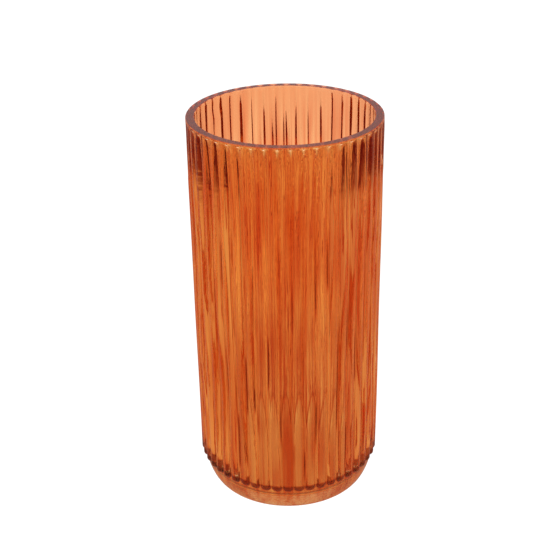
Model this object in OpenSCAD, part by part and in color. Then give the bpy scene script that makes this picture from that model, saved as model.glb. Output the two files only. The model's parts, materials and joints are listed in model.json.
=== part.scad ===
// Reeded cylinder vase, blown in one piece from clear amber glass.
// The tube is smooth inside and carries upright half-round reeds outside. They stop under a plain
// ground lip at the top, and end in rounded tips where the heel turns in to the foot.
// Millimetres, +Z up, origin at the centre of the foot on the surface that the vase stands on.

/* [Vase] */
// Overall height, from the table to the ground rim
vase_h = 254; // [228:1:280]
// Outer radius over the reeds, which is also the outer radius of the lip
outer_r = 60; // [60:0.5:66]
// Inner radius of the smooth bore
bore_r = 54.6; // [50:0.2:55]
// Height of the plain lip above the reeds
lip_h = 2; // [2:0.5:10]
// Width of the polished arris on both edges of the rim
arris = 0.6; // [0.2:0.1:1]

/* [Reeds] */
// Number of reeds round the vase
reed_count = 47; // [41:1:47]
// Radius of one half-round reed
reed_r = 3.4; // [3.1:0.1:3.4]
// How far a reed stands out from the plain wall between two reeds
reed_relief = 2.4; // [1.2:0.1:2.4]
// Direction of the front reed, in degrees from +X
front_angle = -91; // [-95:0.5:-85]
// Unevenness of the reeds, in degrees: they crowd a little at the front and spread at the back
reed_drift = 2.6; // [0:0.1:3]
// Height of the lowest point of the reeds' rounded tips
reed_tip_z = 16; // [14:0.5:20]

/* [Base] */
// Radius of the foot where it meets the table
foot_r = 50.5; // [44:0.5:52]
// Height of the foot pad
foot_h = 6; // [5:0.5:7]
// Height at which the heel meets the upright wall
heel_h = 23; // [21.5:0.5:25]
// Fullness of the heel: 1 is a straight bevel, 2 is a quarter ellipse
heel_power = 1.42; // [1.1:0.02:2.2]
// Height of the inside floor above the table
floor_z = 10; // [8:0.5:12]
// Radius of the rounded corner between the floor and the wall
floor_corner_r = 6; // [5.5:0.5:9]
// Width of the flat ring that the foot rests on
rest_w = 10; // [6:0.5:16]
// Depth of the shallow hollow ground into the underside
hollow_d = 1.2; // [0.5:0.1:2]

/* [Hidden] */

$fn = 180;                              // smooth enough for a preview; the curves are true circles
wall_r = outer_r - reed_relief;         // plain wall behind the reeds
reed_axis_r = outer_r - reed_r;         // circle that the reeds' own axes stand on
reed_top_z = vase_h - lip_h;            // reeds stop against the underside of the lip
reed_low_z = reed_tip_z + reed_r;       // centre of a reed's rounded lower tip
reed_pitch = 360 / reed_count;          // average angle between two reeds
corner_z = floor_z + floor_corner_r;    // where the rounded inside corner becomes the bore
rest_inner_r = foot_r - arris - rest_w; // inner edge of the ring that rests on the table
heel_steps = 10;                        // straight steps along the heel's curve
corner_steps = 6;                       // straight steps round the inside corner
hollow_steps = 5;                       // straight steps across the hollow underneath
reed_fn = 48;                           // preview smoothness of one reed

amber = [0.86, 0.37, 0.12];
deep_amber = [0.74, 0.27, 0.07];
pale_amber = [0.95, 0.55, 0.30];

// Outer radius of the plain glass at height z: a full curve up the heel, then upright.
function heel_drop(z) = max(0, (heel_h - z) / heel_h);
function outside_r(z) =
    foot_r + (wall_r - foot_r) * pow(1 - pow(heel_drop(z), heel_power), 1 / heel_power);

// Direction of reed number i, counted anticlockwise from the front one.
function reed_angle(i) = front_angle + i * reed_pitch - reed_drift * sin(i * reed_pitch);

// Points up the outside of the glass from height a to height b.
function outside(a, b) =
    [for (i = [0 : heel_steps]) let (z = a + (b - a) * i / heel_steps) [outside_r(z), z]];

// Points of the rounded inside corner, from the bore inwards and down to the floor.
function corner() =
    [for (i = [0 : corner_steps]) let (t = 90 * i / corner_steps)
        [bore_r - floor_corner_r * (1 - cos(t)), corner_z - floor_corner_r * sin(t)]];

// Points of the hollow underneath, from its centre out to the resting ring.
function hollow() =
    [for (i = [0 : hollow_steps]) let (s = i / hollow_steps)
        [rest_inner_r * s, hollow_d * (1 - s * s)]];

// All of the plain glass that stands behind the reeds, as one solid to cut them back with.
module plain_core() {
    rotate_extrude()
        polygon(concat([[0, 0]], outside(0, heel_h), [[wall_r, vase_h], [0, vase_h]]));
}

// The pad of glass that the vase stands on, hollowed slightly so that it rests on a flat ring.
module foot() {
    color(deep_amber)
        rotate_extrude()
            polygon(concat(
                hollow(),
                [[foot_r - arris, 0]],
                outside(arris, foot_h),
                [[0, foot_h]]));
}

// The inside bottom, a bowl between the foot and the tube, as high as the heel.
module floor() {
    color(deep_amber)
        rotate_extrude()
            polygon(concat(
                [[0, foot_h]],
                outside(foot_h, heel_h),
                [[bore_r, heel_h]],
                corner(),
                [[0, floor_z]]));
}

// The blown tube, from the top of the heel up to the lip.
module body_wall() {
    color(amber)
        translate([0, 0, heel_h])
            difference() {
                cylinder(r = wall_r, h = reed_top_z - heel_h);
                translate([0, 0, -1])
                    cylinder(r = bore_r, h = reed_top_z - heel_h + 2);
            }
}

// One reed: a round rod with a ball tip at its lower end, standing on the reed circle.
module reed_rod() {
    translate([reed_axis_r, 0, reed_low_z]) {
        cylinder(r = reed_r, h = reed_top_z - reed_low_z, $fn = reed_fn);
        sphere(r = reed_r, $fn = reed_fn);
    }
}

// All the reeds: the part of each rod that stands out of the plain glass.
module reeds() {
    color(pale_amber)
        for (i = [0 : reed_count - 1])
            rotate([0, 0, reed_angle(i)])
                difference() {
                    reed_rod();
                    plain_core();
                }
}

// The plain collar with its flat ground rim and narrow polished edges.
module lip() {
    color(amber)
        rotate_extrude()
            polygon([
                [bore_r, reed_top_z],
                [outer_r, reed_top_z],
                [outer_r, vase_h - arris],
                [outer_r - arris, vase_h],
                [bore_r + arris, vase_h],
                [bore_r, vase_h - arris]]);
}

foot();
floor();
body_wall();
reeds();
lip();
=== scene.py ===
"""Looks for the reeded amber glass vase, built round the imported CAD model. Metres, +Z up."""
import json
import math

import bpy
import numpy as np
from mathutils import Euler, Matrix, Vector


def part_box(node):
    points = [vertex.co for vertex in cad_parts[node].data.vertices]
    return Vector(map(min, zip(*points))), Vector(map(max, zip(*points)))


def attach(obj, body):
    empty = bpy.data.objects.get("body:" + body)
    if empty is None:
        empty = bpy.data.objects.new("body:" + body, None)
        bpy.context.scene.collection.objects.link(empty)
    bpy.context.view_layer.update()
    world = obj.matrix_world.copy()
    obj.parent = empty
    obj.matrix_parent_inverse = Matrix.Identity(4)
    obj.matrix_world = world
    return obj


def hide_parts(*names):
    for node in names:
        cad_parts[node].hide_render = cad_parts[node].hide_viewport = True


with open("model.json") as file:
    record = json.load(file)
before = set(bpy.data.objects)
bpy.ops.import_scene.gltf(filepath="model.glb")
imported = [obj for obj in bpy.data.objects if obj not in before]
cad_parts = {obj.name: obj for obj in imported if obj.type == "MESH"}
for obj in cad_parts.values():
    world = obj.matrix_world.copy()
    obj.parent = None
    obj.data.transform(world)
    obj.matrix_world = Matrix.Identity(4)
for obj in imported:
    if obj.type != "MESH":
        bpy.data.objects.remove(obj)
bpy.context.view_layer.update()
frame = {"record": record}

MM = 0.001

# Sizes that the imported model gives.
FLOOR_CLEAR = 1 * MM        # the recorded opening starts this far above the floor
OUTER_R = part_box("lip")[1].x
VASE_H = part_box("lip")[1].z
REED_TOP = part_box("lip")[0].z
SHOULDER_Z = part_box("body_wall")[0].z
FOOT_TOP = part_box("foot")[1].z
REED_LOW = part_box("reeds")[0].z
mouth = next(m for m in frame["record"]["mounts"] if m["name"] == "mouth")
BORE_R = mouth["dims"]["r_mm"] * MM
FLOOR_TOP = frame["record"]["physics"]["openings"][0]["box_m"][0][2] - FLOOR_CLEAR

# The reeds, spaced as the CAD model has them.
REEDS = 47
FRONT_ANGLE = math.radians(-91)
DRIFT = math.radians(2.6)   # furthest that a reed is from its place in an even row
RELIEF = 2.4 * MM           # how far a full reed stands out of the valley beside it
RIM_RELIEF = 0.72 * MM      # what is left of that at the rim
RELIEF_GROWTH = 0.048       # how the relief grows with depth below the rim
GROOVE = 0.72               # share of a flattened reed's half width that the groove beside it takes up
STEEPEST = 0.86             # sine of the steepest slope on a full reed's flank
CROWN = 0.74                # share of a full reed's half width that is the round crown
ROUND_FROM, ROUND_TO = 30 * MM, 80 * MM   # depths below the rim between which the reeds become round
TIP_LENGTH = 3.6 * MM       # height of a reed's rounded lower end
ARCH_LENGTH = 5.5 * MM      # height over which the valleys fill up between the reeds' upper ends
ARCH_TOP = VASE_H - 1.4 * MM  # where the valleys are full and the plain collar starts
FILL_POWER = 6              # power of the height by which they fill: most of it is near the top
HALF_STEPS = (0, 0.2, 0.38, 0.52, 0.64, 0.74, 0.82, 0.88, 0.93, 0.97, 1)  # columns over half a reed

# The blown tube.
BULGE = 0.1 * MM            # how far it swells past the rim's radius
BULGE_POWER = 20            # power of the height by which the swelling ends at the rim
TAPER = 0.5 * MM            # how much it narrows again down to the heel

# The heel and the foot.
FOOT_R = 50.6 * MM
HEEL_TOP = 18 * MM
HEEL_POWER = 1.55           # power of the heel's curve: 2 would be an ellipse, 1 a cone
ARRIS = 0.6 * MM            # radius of the rounded edges of the rim and the foot
CORNER_R = 6 * MM           # radius of the corner between the floor and the wall inside
REST_W = 10 * MM            # width of the ring that the vase stands on
HOLLOW_D = 1.2 * MM         # depth of the hollow inside that ring

SEAM_GAP = 0.01 * MM        # half the gap left between two pieces where their glass is one
SUPPORT = 0.06 * MM         # width of the strip that keeps a flat face flat beside a rounded edge

# Waves that the hot glass kept.
EASE_LOW = 15 * MM          # height over which the random waves grow above the foot or the shoulder
EASE_HIGH = 8 * MM          # depth over which they grow below the rim
BORE_EASE = 1 * MM          # the bore's waves end this far below the rim
LEAST_WAVE = 0.4            # height of the smallest wave, as a share of the largest
KINK = 0.9 * MM             # how far the glass was dragged sideways at the one kinked reed
KINK_ANGLE, KINK_Z = math.radians(140.7), 241 * MM
KINK_TURN, KINK_RISE = 0.07, 5 * MM   # how far round, in radians, and up the drag reaches
KINK_PEAK = 2.3             # brings the peak of the drag's own curve to about 1

# Painted shade and painted light in the glass's colour. Places across a reed are in half widths from its
# crest.
TIP_SHADE_TOP = 2.3              # height of the painted shade in a reed's lower end at the sides, in tip lengths
TIP_SHADE_DROP = 0.5             # how much lower the painted shade ends at the front and back, and at the reed's edges
TIP_SHADE_BLUR = 0.4             # tip lengths over which it fades out upwards
TIP_SHADE_EDGE, EDGE_BLUR = 1.1, 0.2       # where it ends across the reed, and over how much it fades in
TIP_SHADE_BACK = 0.4             # how much of it is left at the back
WEB_WIDTH = 0.36            # how far the thin webs reach out of the valleys at their top
WEB_BLUR = 0.1              # over how much they fade in, both across and upwards
SHADE_FROM, LINE_BLUR = 0.77, 0.14    # where the painted shade starts across a valley, and over how much it fades in
SHADE_TOP = 50 * MM         # depth below the rim where the painted valley shade ends
SHADE_EASE = 20 * MM        # height over which they fade out at both ends
SHADE_GAIN, SHADE_LEVEL, SHADE_MOST = 2, 0.3, 0.95    # how their waves turn into tone
PAINTED_LIGHT_RIGHT = 0.1           # how much paler the glass is painted on the right, a painted light

rng = np.random.default_rng(47)


# ---------------------------------------------------------------- shape of the glass

def reed_columns():
    """Angle of each column of the outside, its signed place across its reed, and the reed's number."""
    turn = 2 * math.pi / REEDS
    number = np.arange(-1, REEDS + 1)
    crest = FRONT_ANGLE + number * turn - DRIFT * np.sin(number * turn)
    right = np.array(HALF_STEPS)
    across = np.concatenate([-right[-2:0:-1], right])
    angle, place, reed = [], [], []
    for i in range(1, REEDS + 1):
        to_left = (crest[i] - crest[i - 1]) / 2
        to_right = (crest[i + 1] - crest[i]) / 2
        angle.append(crest[i] + across * np.where(across < 0, to_left, to_right))
        place.append(across)
        reed.append(np.full(len(across), i - 1))
    return np.concatenate(angle), np.concatenate(place), np.concatenate(reed)


ANGLE, PLACE, REED = reed_columns()
BORE_ANGLE = ANGLE[::2]


def ripples(count, around, along, size):
    """Random waves over the glass: turns round the vase, a rate along it, a phase and a height for each."""
    turns = rng.integers(around[0], around[1], count)
    per_metre = rng.uniform(-1, 1, count) * 2 * math.pi / along
    phase = rng.uniform(0, 2 * math.pi, count)
    height = rng.uniform(LEAST_WAVE, 1, count) * size / math.sqrt(count)
    return turns, per_metre, phase, height


def rippled(waves, angle, z):
    """Sum of the waves at each angle and one height."""
    turns, per_metre, phase, height = waves
    return np.sin(np.outer(angle, turns) + per_metre * z + phase) @ height


SWAY = ripples(12, (2, 14), 90 * MM, 0.5 * MM)      # how the reeds wander sideways
SWELL = ripples(30, (3, 60), 110 * MM, 0.16 * MM)   # how the outside swells and shrinks
DRAW = ripples(60, (20, 120), 160 * MM, 0.36 * MM)  # the upright waves of the bore
FIRMNESS = 1 + rng.uniform(-0.12, 0.12, REEDS)      # how far each reed stands out, against the rest
REHEAT = rng.uniform(-5, 5, REEDS) * MM             # how much sooner each reed starts to fade upwards
VALLEY_SHADE_WAVES = ripples(24, (4, 40), 60 * MM, 1)           # where shade is painted in the valleys


def kink(angle, z):
    """How far the glass was dragged sideways at the one kinked reed."""
    off = (np.mod(angle - KINK_ANGLE + math.pi, 2 * math.pi) - math.pi) / KINK_TURN
    up = (z - KINK_Z) / KINK_RISE
    return KINK * np.exp(-off ** 2) * KINK_PEAK * up * np.exp(-up ** 2)


def crest_radius(z):
    """Radius over the reeds at height z: the tube widens slightly upwards and closes again at the rim."""
    up = np.clip((z - HEEL_TOP) / (VASE_H - HEEL_TOP), 0, 1)
    return OUTER_R + BULGE * (1 - up ** BULGE_POWER) - TAPER * (1 - up) ** 2


def relief_at(z):
    """How far the reeds stand out at height z: less towards the rim, where the glass was reheated."""
    return np.minimum(RELIEF, RIM_RELIEF + RELIEF_GROWTH * (VASE_H - z))


def plain_radius(z):
    """Radius of the glass between the reeds at height z, down round the heel."""
    drop = np.clip((HEEL_TOP - z) / HEEL_TOP, 0, 1)
    above = np.maximum(z, HEEL_TOP)
    full = crest_radius(above) - relief_at(above)
    return FOOT_R + (full - FOOT_R) * (1 - drop ** HEEL_POWER) ** (1 / HEEL_POWER)


def round_reed(u):
    """Height of a full reed, 0 to 1, u half widths from its crest: a round crown, then a round fillet."""
    crown_r = CROWN / STEEPEST
    fillet_r = (1 - CROWN) / STEEPEST
    depth = (crown_r + fillet_r) * (1 - math.sqrt(1 - STEEPEST ** 2))
    crown = crown_r - np.sqrt(crown_r ** 2 - np.minimum(u, CROWN) ** 2)
    fillet = depth - fillet_r + np.sqrt(fillet_r ** 2 - np.minimum(1 - u, 1 - CROWN) ** 2)
    return 1 - np.where(u < CROWN, crown, fillet) / depth


def flat_reed(u):
    """Height of a flattened reed, 0 to 1, u half widths from its crest: flat, then a round groove."""
    return 0.5 + 0.5 * np.cos(math.pi * np.clip((u + GROOVE - 1) / GROOVE, 0, 1))


def reed_height(u, z):
    """Height of a reed, 0 to 1, at u half widths from its crest and height z."""
    u = np.clip(np.abs(u), 0, 1)
    full = np.clip((VASE_H - z - ROUND_FROM) / (ROUND_TO - ROUND_FROM), 0, 1)
    return full * round_reed(u) + (1 - full) * flat_reed(u)


def tip_shade(angle, place, z):
    """Above 0 in the lower end of each reed, where shade is painted into the colour: highest up at the
    sides.
    """
    low = (REED_LOW - z) / TIP_LENGTH
    end = np.clip((TIP_SHADE_EDGE - np.hypot(place, max(0, low + 1))) / EDGE_BLUR, 0, 1)
    top = low + TIP_SHADE_TOP - TIP_SHADE_DROP * np.sin(angle) ** 2 - TIP_SHADE_DROP * place ** 2
    shaded = end * np.clip(top / TIP_SHADE_BLUR, 0, 1)
    return shaded * np.clip(1 - (1 - TIP_SHADE_BACK) * np.sin(angle), TIP_SHADE_BACK, 1)


def web_light(angle, place, z):
    """1 where light is painted: in the thin webs between the reeds' upper ends and in the collar, on the
    front half only.
    """
    high = (z - ARCH_TOP + ARCH_LENGTH) / ARCH_LENGTH
    edge = 1 - WEB_WIDTH * high if z < ARCH_TOP else 0
    across = np.clip((np.abs(place) - edge) / WEB_BLUR, 0, 1)
    front = np.clip(-2 * np.sin(angle), 0, 1)
    return across * np.clip(high / WEB_BLUR, 0, 1) * front


def valley_shade(angle, place, z):
    """Above 0 where shade is painted along stretches of the valleys between the reeds."""
    line = np.clip((np.abs(place) - SHADE_FROM) / LINE_BLUR, 0, 1)
    fade = np.clip(min(VASE_H - SHADE_TOP - z, z - REED_LOW) / SHADE_EASE, 0, 1)
    return fade * line * np.clip(SHADE_GAIN * rippled(VALLEY_SHADE_WAVES, angle, z) - SHADE_LEVEL, 0, SHADE_MOST)


def outside(z):
    """One loop round the outside at height z: each point and its tone, painted shade above 0 and painted
    light below.
    """
    low = max(0.0, REED_LOW + TIP_LENGTH - z) / TIP_LENGTH
    high = min(1, max(0.0, z - ARCH_TOP + ARCH_LENGTH) / ARCH_LENGTH)
    waves = min(1, (z - FOOT_TOP) / EASE_LOW) if z > FOOT_TOP else 0
    waves *= min(1, (VASE_H - z) / EASE_HIGH)
    full = relief_at(z)
    relief = full + (1 - high) * (relief_at(z + REHEAT[REED]) * FIRMNESS[REED] - full) if waves else full
    height = reed_height(np.hypot(PLACE, low), z)
    height += (1 - height) * high ** FILL_POWER
    radius = plain_radius(z) + relief * height + waves * rippled(SWELL, ANGLE, z)
    angle = ANGLE + (waves * rippled(SWAY, ANGLE, z) + kink(ANGLE, z)) / radius
    # The tone paints shade into the reed tips and valleys, and light into the webs and the right side.
    tone = np.maximum(tip_shade(ANGLE, PLACE, z), valley_shade(ANGLE, PLACE, z))
    tone -= web_light(ANGLE, PLACE, z) + PAINTED_LIGHT_RIGHT * np.clip(np.cos(ANGLE), 0, 1)
    return np.stack([radius * np.cos(angle), radius * np.sin(angle), np.full(len(ANGLE), z), tone], 1)


def bore(z):
    """One loop of points round the inside, with the soft upright waves of drawn glass."""
    waves = np.clip((z - SHOULDER_Z) / EASE_LOW, 0, 1) * np.clip((VASE_H - z - BORE_EASE) / EASE_HIGH, 0, 1)
    loop = circle(BORE_R + waves * rippled(DRAW, BORE_ANGLE, z), z)
    # Painted light in the webs, on the bore too.
    loop[:, 3] = -web_light(BORE_ANGLE, PLACE[::2], z)
    return loop


def circle(radius, z, angle=BORE_ANGLE):
    """One round loop of points, with no tone of their own."""
    level, plain = np.full(len(angle), z), np.zeros(len(angle))
    return np.stack([radius * np.cos(angle), radius * np.sin(angle), level, plain], 1)


def middle(z):
    """A single point on the axis."""
    return np.array([[0, 0, z, 0]])


def arc(radius, z, turn, steps, bend):
    """Radius and height of points round a quarter circle of radius bend, which starts at the angle turn."""
    return [
        (radius + bend * math.cos(a), z + bend * math.sin(a))
        for a in np.linspace(turn, turn + math.pi / 2, steps + 1)
    ]


# ---------------------------------------------------------------- mesh

def glass_piece(name, loops, seams, ring, *nodes):
    """A closed glass piece through loops of points, one after the other.

    seams holds the numbers of the strips that are cut faces inside the glass. A ring joins its last loop
    to its first, and any other piece starts and ends in one point.
    """
    first, verts, faces, cut = [], [], [], []
    for loop in loops:
        first.append(sum(len(v) for v in verts))
        verts.append(loop)
    counts = [len(v) for v in verts]
    pairs = [(i, i + 1) for i in range(len(loops) - 1)] + ([(len(loops) - 1, 0)] if ring else [])
    for strip, (a, b) in enumerate(pairs):
        n = max(counts[a], counts[b])
        if counts[a] == counts[b]:
            new = [(first[a] + k, first[a] + (k + 1) % n, first[b] + (k + 1) % n, first[b] + k)
                   for k in range(n)]
        elif counts[b] == 1:
            new = [(first[a] + k, first[a] + (k + 1) % n, first[b]) for k in range(n)]
        elif counts[a] == 1:
            new = [(first[b] + (k + 1) % n, first[b] + k, first[a]) for k in range(n)]
        elif counts[a] > counts[b]:
            half = n // 2
            new = [(first[a] + 2 * k, first[a] + 2 * k + 1, first[a] + (2 * k + 2) % n,
                    first[b] + (k + 1) % half, first[b] + k) for k in range(half)]
        else:
            half = n // 2
            new = [(first[b] + (2 * k + 2) % n, first[b] + 2 * k + 1, first[b] + 2 * k,
                    first[a] + k, first[a] + (k + 1) % half) for k in range(half)]
        faces += new
        cut += [strip in seams] * len(new)
    mesh = bpy.data.meshes.new(name)
    verts = np.concatenate(verts)
    mesh.from_pydata(verts[:, :3], [], faces)
    mesh.validate()
    mesh.attributes.new("tone", "FLOAT", "POINT").data.foreach_set("value", verts[:, 3])
    mesh.polygons.foreach_set("use_smooth", [True] * len(mesh.polygons))
    skin = mesh.attributes.new("skin", "FLOAT", "FACE")
    skin.data.foreach_set("value", [0.0 if c else 1.0 for c in cut])
    sharp_where_cut(mesh, cut)
    piece = bpy.data.objects.new(name, mesh)
    bpy.context.scene.collection.objects.link(piece)
    mesh.materials.append(glass)
    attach(piece, "root")
    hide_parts(*nodes)
    return piece


def sharp_where_cut(mesh, cut):
    """Marks the edges between the skin and a cut face as sharp."""
    loop_edge = np.zeros(len(mesh.loops), int)
    mesh.loops.foreach_get("edge_index", loop_edge)
    size = np.zeros(len(mesh.polygons), int)
    mesh.polygons.foreach_get("loop_total", size)
    of_loop = np.repeat(np.array(cut, bool), size)
    sharp = np.zeros(len(mesh.edges), bool)
    sharp[np.intersect1d(loop_edge[of_loop], loop_edge[~of_loop])] = True
    mesh.attributes.new("sharp_edge", "BOOLEAN", "EDGE").data.foreach_set("value", sharp)


# ---------------------------------------------------------------- material

# Colours of the glass's surface. The first two are its streaks, and the tone on the mesh gives the others,
# which are painted shade and painted light.
PALE = (1.0, 0.52, 0.23)
DEEP = (0.71, 0.125, 0.035)
VALLEY_SHADE = (0.52, 0.06, 0.012)           # painted shade in the valleys, where the tone is a half
TIP_SHADE = (0.12, 0.01, 0.003)             # painted shade, where it is 1, as in the reeds' lower tips
WEB_LIGHT = (1.0, 0.78, 0.62)               # painted light, where it is -1, in the thin glass between the reeds' upper ends

BODY = (0.95, 0.6, 0.35)    # what the thickness of the glass absorbs least
BODY_DENSITY = 5
IOR = 1.5

# Cells of noise in a metre along each axis.
STREAKS = (330, 330, 9)     # fine upright streaks of deeper colour
CORDS = (60, 60, 14)        # broader ones
LINES = (700, 700, 12)      # drawn lines in the surface
BEADS = (160, 160, 420)     # small bubbles, which show as bumps
BEADED = (90, 90, 8)        # the stretches that have such bubbles

STREAK_SHARE = 0.6          # what the fine streaks give of the colour's depth: the cords give the rest
PALE_AT, DEEP_AT = 0.41, 0.6          # depths that give the palest and the deepest colour
EVEN_DEPTH = 60 * MM        # depth below the rim where the colour's unevenness is full
EVEN_RIM = 0.15             # what is left of that at the rim
EVEN = (0.5, 0.5, 0.5)      # share of the deep colour in the flat floor, which has no streaks
EVEN_R, STREAKED_R = 40 * MM, 52 * MM  # radius where the streaks start, and where they are full
BEADED_FROM, BEADED_TO = 0.52, 0.62   # noise that gives no bubbles, and all of them
BEAD_HEIGHT = 0.6           # height of the bubbles' bumps against the drawn lines
BUMP = 0.07 * MM            # height of those lines
ROUGH_FROM, ROUGH_TO, ROUGHEST = 0.4, 0.7, 0.03       # the deeper a streak is, the less it shines


def noise(tree, place, stretch, detail):
    """Soft noise over the glass, with its own number of cells in a metre along each axis."""
    size = tree.nodes.new("ShaderNodeMapping")
    size.inputs["Scale"].default_value = stretch
    tree.links.new(place, size.inputs["Vector"])
    cloud = tree.nodes.new("ShaderNodeTexNoise")
    cloud.inputs["Scale"].default_value = 1
    cloud.inputs["Detail"].default_value = detail
    tree.links.new(size.outputs["Vector"], cloud.inputs["Vector"])
    return cloud.outputs["Fac"]


def ranged(tree, value, low, high, to_low=0.0, to_high=1.0):
    """A value moved from one range to another and held inside it."""
    node = tree.nodes.new("ShaderNodeMapRange")
    for name, number in zip(("From Min", "From Max", "To Min", "To Max"), (low, high, to_low, to_high)):
        node.inputs[name].default_value = number
    tree.links.new(value, node.inputs["Value"])
    return node.outputs["Result"]


def maths(tree, operation, a, b):
    """One sum of two values, where each is a socket or a number."""
    node = tree.nodes.new("ShaderNodeMath")
    node.operation = operation
    for socket, value in zip(node.inputs, (a, b)):
        if isinstance(value, (int, float)):
            socket.default_value = value
        else:
            tree.links.new(value, socket)
    return node.outputs[0]


def mixed(tree, share, a, b):
    """A colour between a and b."""
    mix = tree.nodes.new("ShaderNodeMix")
    mix.data_type = "RGBA"
    tree.links.new(share, mix.inputs["Factor"])
    for socket, colour in (("A", a), ("B", b)):
        if isinstance(colour, tuple):
            mix.inputs[socket].default_value = (*colour, 1)
        else:
            tree.links.new(colour, mix.inputs[socket])
    return mix.outputs["Result"]


def glass_material():
    """Clear amber glass with upright streaks of deeper colour, drawn lines and patches of small bubbles,
    and painted shade and light from the mesh's tone.
    """
    mat = bpy.data.materials.new("amber_glass")
    mat.use_nodes = True
    tree = mat.node_tree
    shader = tree.nodes["Principled BSDF"]
    place = tree.nodes.new("ShaderNodeTexCoord").outputs["Object"]
    streaks = noise(tree, place, STREAKS, detail=3)
    cords = noise(tree, place, CORDS, detail=2)
    streak_part = maths(tree, "MULTIPLY", streaks, STREAK_SHARE)
    depth = maths(tree, "ADD", streak_part, maths(tree, "MULTIPLY", cords, 1 - STREAK_SHARE))
    split = tree.nodes.new("ShaderNodeSeparateXYZ")
    tree.links.new(place, split.inputs[0])
    uneven = ranged(tree, split.outputs["Z"], VASE_H, VASE_H - EVEN_DEPTH, EVEN_RIM, 1)
    depth = maths(tree, "ADD", 0.5, maths(tree, "MULTIPLY", maths(tree, "SUBTRACT", depth, 0.5), uneven))
    radius = tree.nodes.new("ShaderNodeVectorMath")
    radius.operation = "LENGTH"
    join = tree.nodes.new("ShaderNodeCombineXYZ")
    tree.links.new(split.outputs["X"], join.inputs["X"])
    tree.links.new(split.outputs["Y"], join.inputs["Y"])
    tree.links.new(join.outputs[0], radius.inputs[0])
    share = ranged(tree, depth, PALE_AT, DEEP_AT)
    share = mixed(tree, ranged(tree, radius.outputs["Value"], EVEN_R, STREAKED_R), EVEN, share)
    colour = mixed(tree, share, PALE, DEEP)
    # Painted shade in the valleys and reed tips, and painted light in the webs and on the right, from the
    # tone.
    tone = tree.nodes.new("ShaderNodeAttribute")
    tone.attribute_name = "tone"
    colour = mixed(tree, ranged(tree, tone.outputs["Fac"], 0, 0.5), colour, VALLEY_SHADE)
    colour = mixed(tree, ranged(tree, tone.outputs["Fac"], 0.5, 1), colour, TIP_SHADE)
    colour = mixed(tree, ranged(tree, tone.outputs["Fac"], 0, -1), colour, WEB_LIGHT)
    tree.links.new(colour, shader.inputs["Base Color"])
    beads = noise(tree, place, BEADS, detail=1)
    beaded = ranged(tree, noise(tree, place, BEADED, detail=0), BEADED_FROM, BEADED_TO)
    lines = noise(tree, place, LINES, detail=2)
    bead_height = maths(tree, "MULTIPLY", beaded, BEAD_HEIGHT)
    height = maths(tree, "ADD", lines, maths(tree, "MULTIPLY", beads, bead_height))
    bump = tree.nodes.new("ShaderNodeBump")
    bump.inputs["Strength"].default_value = 1
    bump.inputs["Distance"].default_value = BUMP
    tree.links.new(height, bump.inputs["Height"])
    tree.links.new(bump.outputs["Normal"], shader.inputs["Normal"])
    tree.links.new(ranged(tree, streaks, ROUGH_FROM, ROUGH_TO, 0, ROUGHEST), shader.inputs["Roughness"])
    shader.inputs["IOR"].default_value = IOR
    shader.inputs["Transmission Weight"].default_value = 1
    skin = tree.nodes.new("ShaderNodeAttribute")
    skin.attribute_name = "skin"
    tree.links.new(skin.outputs["Fac"], shader.inputs["Alpha"])
    body = tree.nodes.new("ShaderNodeVolumeAbsorption")
    body.inputs["Color"].default_value = (*BODY, 1)
    body.inputs["Density"].default_value = BODY_DENSITY
    tree.links.new(body.outputs["Volume"], tree.nodes["Material Output"].inputs["Volume"])
    return mat


glass = glass_material()

# ---------------------------------------------------------------- pieces

EDGE_DEPTH = 1.2 * MM       # depth below the rim where its rounded edges take over from the wall
ARCH_ROOM = 1.2 * ARCH_LENGTH         # the closer loops start this far below the collar
INNERMOST = 0.05            # radius of a disc's smallest loop, as a share of the largest
HEEL_START = 0.2            # how the heel's loops lie closer together towards the table

# How many loops of points each stretch of glass has, and how many steps a rounded edge.
ARRIS_STEPS = 4
LIP_OUTSIDE, LIP_BORE = 9, 4
WALL_OUTSIDE, ARCHES_OUTSIDE, WALL_BORE = 68, 14, 40
FLOOR_OUTSIDE, FLOOR_BORE, CORNER_LOOPS, DISC_LOOPS = 44, 4, 13, 12
HEEL_LOOPS = 16


def lip():
    """The collar over the reeds, with its flat ground rim between two rounded edges."""
    outer_arris = arc(OUTER_R - ARRIS, VASE_H - ARRIS, 0, ARRIS_STEPS, ARRIS)
    inner_arris = arc(BORE_R + ARRIS, VASE_H - ARRIS, math.pi / 2, ARRIS_STEPS, ARRIS)
    up = [outside(z) for z in np.linspace(REED_TOP + SEAM_GAP, VASE_H - EDGE_DEPTH, LIP_OUTSIDE)]
    edge = [circle(r, z, ANGLE) for r, z in outer_arris]
    edge.append(circle(OUTER_R - ARRIS - SUPPORT, VASE_H, ANGLE))
    rim = [circle(BORE_R + ARRIS + SUPPORT, VASE_H)]
    rim += [circle(r, z) for r, z in inner_arris]
    down = [bore(z) for z in np.linspace(VASE_H - EDGE_DEPTH, REED_TOP + SEAM_GAP, LIP_BORE)]
    loops = up + edge + rim + down
    glass_piece("glass_lip", loops, {len(loops) - 1}, True, "lip")


def wall():
    """The tube and its reeds, from the shoulder over the floor to the collar."""
    low, high = SHOULDER_Z + SEAM_GAP, REED_TOP - SEAM_GAP
    arches = high - ARCH_ROOM
    plain = np.linspace(low, arches, WALL_OUTSIDE)
    heights = np.concatenate([plain, np.linspace(arches, high, ARCHES_OUTSIDE)[1:]])
    up = [outside(z) for z in heights]
    down = [bore(z) for z in np.linspace(high, low, WALL_BORE)]
    loops = up + down
    glass_piece("glass_wall", loops, {len(up) - 1, len(loops) - 1}, True, "body_wall", "reeds")


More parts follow.
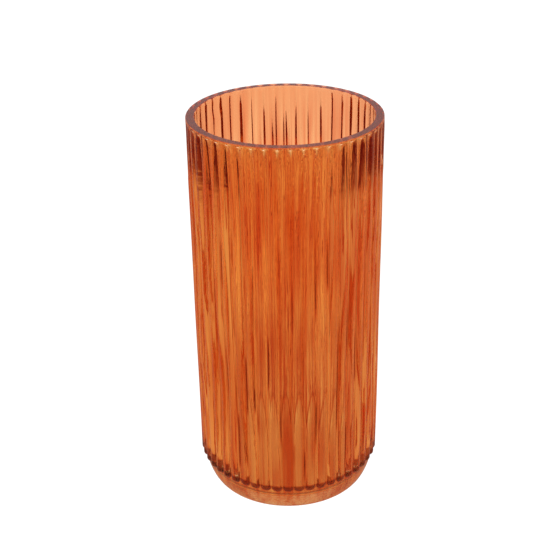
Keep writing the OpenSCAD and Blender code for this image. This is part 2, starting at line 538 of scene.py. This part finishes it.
def floor():
    """The inside bottom, its round corner, and the glass outside it with the reeds' lower ends."""
    low, high = FOOT_TOP + SEAM_GAP, SHOULDER_Z - SEAM_GAP
    flat = BORE_R - CORNER_R
    loops = [middle(low)]
    loops += [outside(z) for z in np.linspace(low, high, FLOOR_OUTSIDE)]
    shoulder = len(loops) - 1
    loops += [bore(z) for z in np.linspace(high, FLOOR_TOP + CORNER_R, FLOOR_BORE)]
    loops += [circle(flat + CORNER_R * math.sin(a), FLOOR_TOP + CORNER_R * (1 - math.cos(a)))
              for a in np.linspace(math.pi / 2, 0, CORNER_LOOPS)[1:-1]]
    loops += [circle(flat * s, FLOOR_TOP) for s in np.linspace(1, INNERMOST, DISC_LOOPS)]
    loops += [middle(FLOOR_TOP)]
    glass_piece("glass_floor", loops, {0, shoulder}, False, "floor")


def foot():
    """The thick pad under the floor: its turned-in heel, the ring that it stands on and the hollow."""
    top = FOOT_TOP - SEAM_GAP
    rest_in = FOOT_R - ARRIS - REST_W
    loops = [middle(HOLLOW_D)]
    loops += [circle(rest_in * s, HOLLOW_D * (1 - s * s)) for s in np.linspace(INNERMOST, 1, DISC_LOOPS)]
    loops += [circle(rest_in + SUPPORT, 0), circle(FOOT_R - ARRIS - SUPPORT, 0), circle(FOOT_R - ARRIS, 0)]
    loops += [circle(plain_radius(z), z) for z in top * np.linspace(HEEL_START, 1, HEEL_LOOPS) ** 2]
    loops += [middle(top)]
    glass_piece("glass_foot", loops, {len(loops) - 2}, False, "foot")


lip()
wall()
floor()
foot()

# ---------------------------------------------------------------- studio

TABLE_HALF = 6.0            # half of the table's width
TABLE_DROP = 0.1 * MM       # how far its top is below the foot
WHITE = (1.12, 1.12, 1.12)

# The table and the room as seen through both walls, by distance from the axis: darker near the vase, a
# painted shadow.
BEHIND_NEAR = (0.8, 1.38, 1.6)
BEHIND_FAR = (1.06, 1.72, 1.65)
BEHIND_FROM, BEHIND_TO = 0.07, 0.3

# The table as the glass mirrors it from inside: it is dark from FAR to EDGE_FROM.
TABLE_NEAR = (0.8, 0.52, 0.24)
TABLE_FAR = (0.28, 0.06, 0.02)
TABLE_EDGE = (0.8, 0.5, 0.24)
NEAR, FAR = 0.54, 0.66
EDGE_FROM, EDGE_TO = 0.9, 1.5

# The table as the glass mirrors it from outside, beside the vase and in front of it.
TABLE_SIDE = (0.4, 0.26, 0.2)
TABLE_FRONT = (0.12, 0.07, 0.06)
SIDE_Y, FRONT_Y = 0, -0.1

ROOM_INSIDE = (0.85, 0.95, 0.95)
ROOM_OUTSIDE = (0.55, 0.5, 0.52)

DIMMING = 0.2               # what each mirroring after the first adds to the power of the inside colour
THROUGH = 3                 # a ray that the glass bent this often has gone through more than one wall
OFTEN, SELDOM = 40, 1       # how many mirrorings count: most places, and in front of the vase on the table
OFTEN_Y, SELDOM_Y = -0.03, -0.05      # where the first number holds to, and the second from


def some(tree, depth, least=1):
    """1 where a ray's depth is at least this."""
    return maths(tree, "GREATER_THAN", depth, least - 0.5)


def to_power(tree, colour, times):
    """A colour to the power of times, as if the light were filtered that often."""
    split = tree.nodes.new("ShaderNodeSeparateColor")
    join = tree.nodes.new("ShaderNodeCombineColor")
    if isinstance(colour, tuple):
        split.inputs[0].default_value = (*colour, 1)
    else:
        tree.links.new(colour, split.inputs[0])
    for a, b in zip(split.outputs, join.inputs):
        tree.links.new(maths(tree, "POWER", a, times), b)
    return join.outputs[0]


def studio_colour(tree, behind, outside, inside, most):
    """White where it is seen directly, and tinted for rays that the glass bent or mirrored.

    Only the first mirrorings count, up to most.
    """
    path = tree.nodes.new("ShaderNodeLightPath")
    mirrored, refracted = path.outputs["Glossy Depth"], path.outputs["Transmission Depth"]
    counted = maths(tree, "MULTIPLY", maths(tree, "MINIMUM", mirrored, most), DIMMING)
    often = maths(tree, "ADD", 1 - DIMMING, counted)
    dim = mixed(tree, some(tree, refracted), outside, to_power(tree, inside, often))
    clear = mixed(tree, some(tree, refracted, THROUGH), WHITE, behind)
    return mixed(tree, some(tree, mirrored), clear, dim)


def table_top():
    """A wide pale table that gives soft light, just under the foot."""
    size = TABLE_HALF
    low = -TABLE_DROP
    mesh = bpy.data.meshes.new("table_top")
    mesh.from_pydata([(-size, -size, low), (size, -size, low), (size, size, low), (-size, size, low)],
                     [], [(0, 1, 2, 3)])
    table = bpy.data.objects.new("table_top", mesh)
    bpy.context.scene.collection.objects.link(table)
    mat = bpy.data.materials.new("pale_table")
    mat.use_nodes = True
    tree = mat.node_tree
    tree.nodes.clear()
    out = tree.nodes.new("ShaderNodeOutputMaterial")
    glow = tree.nodes.new("ShaderNodeEmission")
    glow.inputs["Strength"].default_value = 1
    place = tree.nodes.new("ShaderNodeNewGeometry").outputs["Position"]
    reach = tree.nodes.new("ShaderNodeVectorMath")
    reach.operation = "LENGTH"
    tree.links.new(place, reach.inputs[0])
    split = tree.nodes.new("ShaderNodeSeparateXYZ")
    tree.links.new(place, split.inputs[0])
    far, front = reach.outputs["Value"], split.outputs["Y"]
    beyond = mixed(tree, ranged(tree, far, EDGE_FROM, EDGE_TO), TABLE_FAR, TABLE_EDGE)
    inside = mixed(tree, ranged(tree, far, NEAR, FAR), TABLE_NEAR, beyond)
    outside = mixed(tree, ranged(tree, front, SIDE_Y, FRONT_Y), TABLE_SIDE, TABLE_FRONT)
    behind = mixed(tree, ranged(tree, far, BEHIND_FROM, BEHIND_TO), BEHIND_NEAR, BEHIND_FAR)
    most = ranged(tree, front, OFTEN_Y, SELDOM_Y, OFTEN, SELDOM)
    colour = studio_colour(tree, behind, outside, inside, most)
    tree.links.new(colour, glow.inputs["Color"])
    tree.links.new(glow.outputs[0], out.inputs["Surface"])
    mesh.materials.append(mat)


def studio_light():
    """A room as pale as the table, which lights the vase from all round."""
    world = bpy.data.worlds.new("studio")
    bpy.context.scene.world = world
    world.use_nodes = True
    tree = world.node_tree
    back = tree.nodes["Background"]
    back.inputs["Strength"].default_value = 1
    colour = studio_colour(tree, BEHIND_FAR, ROOM_OUTSIDE, ROOM_INSIDE, OFTEN)
    tree.links.new(colour, back.inputs["Color"])


table_top()
studio_light()

# ---------------------------------------------------------------- camera

LENS, SENSOR = 77.8, 36     # millimetres
SHIFT = -0.0216             # how far its frame is moved to the left, in frame widths
CLIP_START = 10 * MM
CAMERA_BACK, CAMERA_UP = 0.6843, 0.4872         # from the axis and from the table
PITCH, ROLL = 0.4637, 0.0125          # radians down and round the line of sight


def camera():
    """The camera stands in front of the vase and looks down on it, with its frame a little to the left."""
    data = bpy.data.cameras.new("camera")
    data.lens = LENS
    data.sensor_width = SENSOR
    data.shift_x = SHIFT
    data.clip_start = CLIP_START
    cam = bpy.data.objects.new("camera", data)
    cam.location = (0, -CAMERA_BACK, CAMERA_UP)
    turn = Euler((math.pi / 2 - PITCH, 0, 0)).to_matrix() @ Matrix.Rotation(-ROLL, 3, "Z")
    cam.rotation_euler = turn.to_euler()
    bpy.context.scene.collection.objects.link(cam)
    bpy.context.scene.camera = cam


camera()

scene = bpy.context.scene
scene.view_settings.view_transform = "Standard"
scene.cycles.max_bounces = 96
scene.cycles.transmission_bounces = 40
scene.cycles.glossy_bounces = 90
scene.cycles.transparent_max_bounces = 40
scene.cycles.sample_clamp_indirect = 0
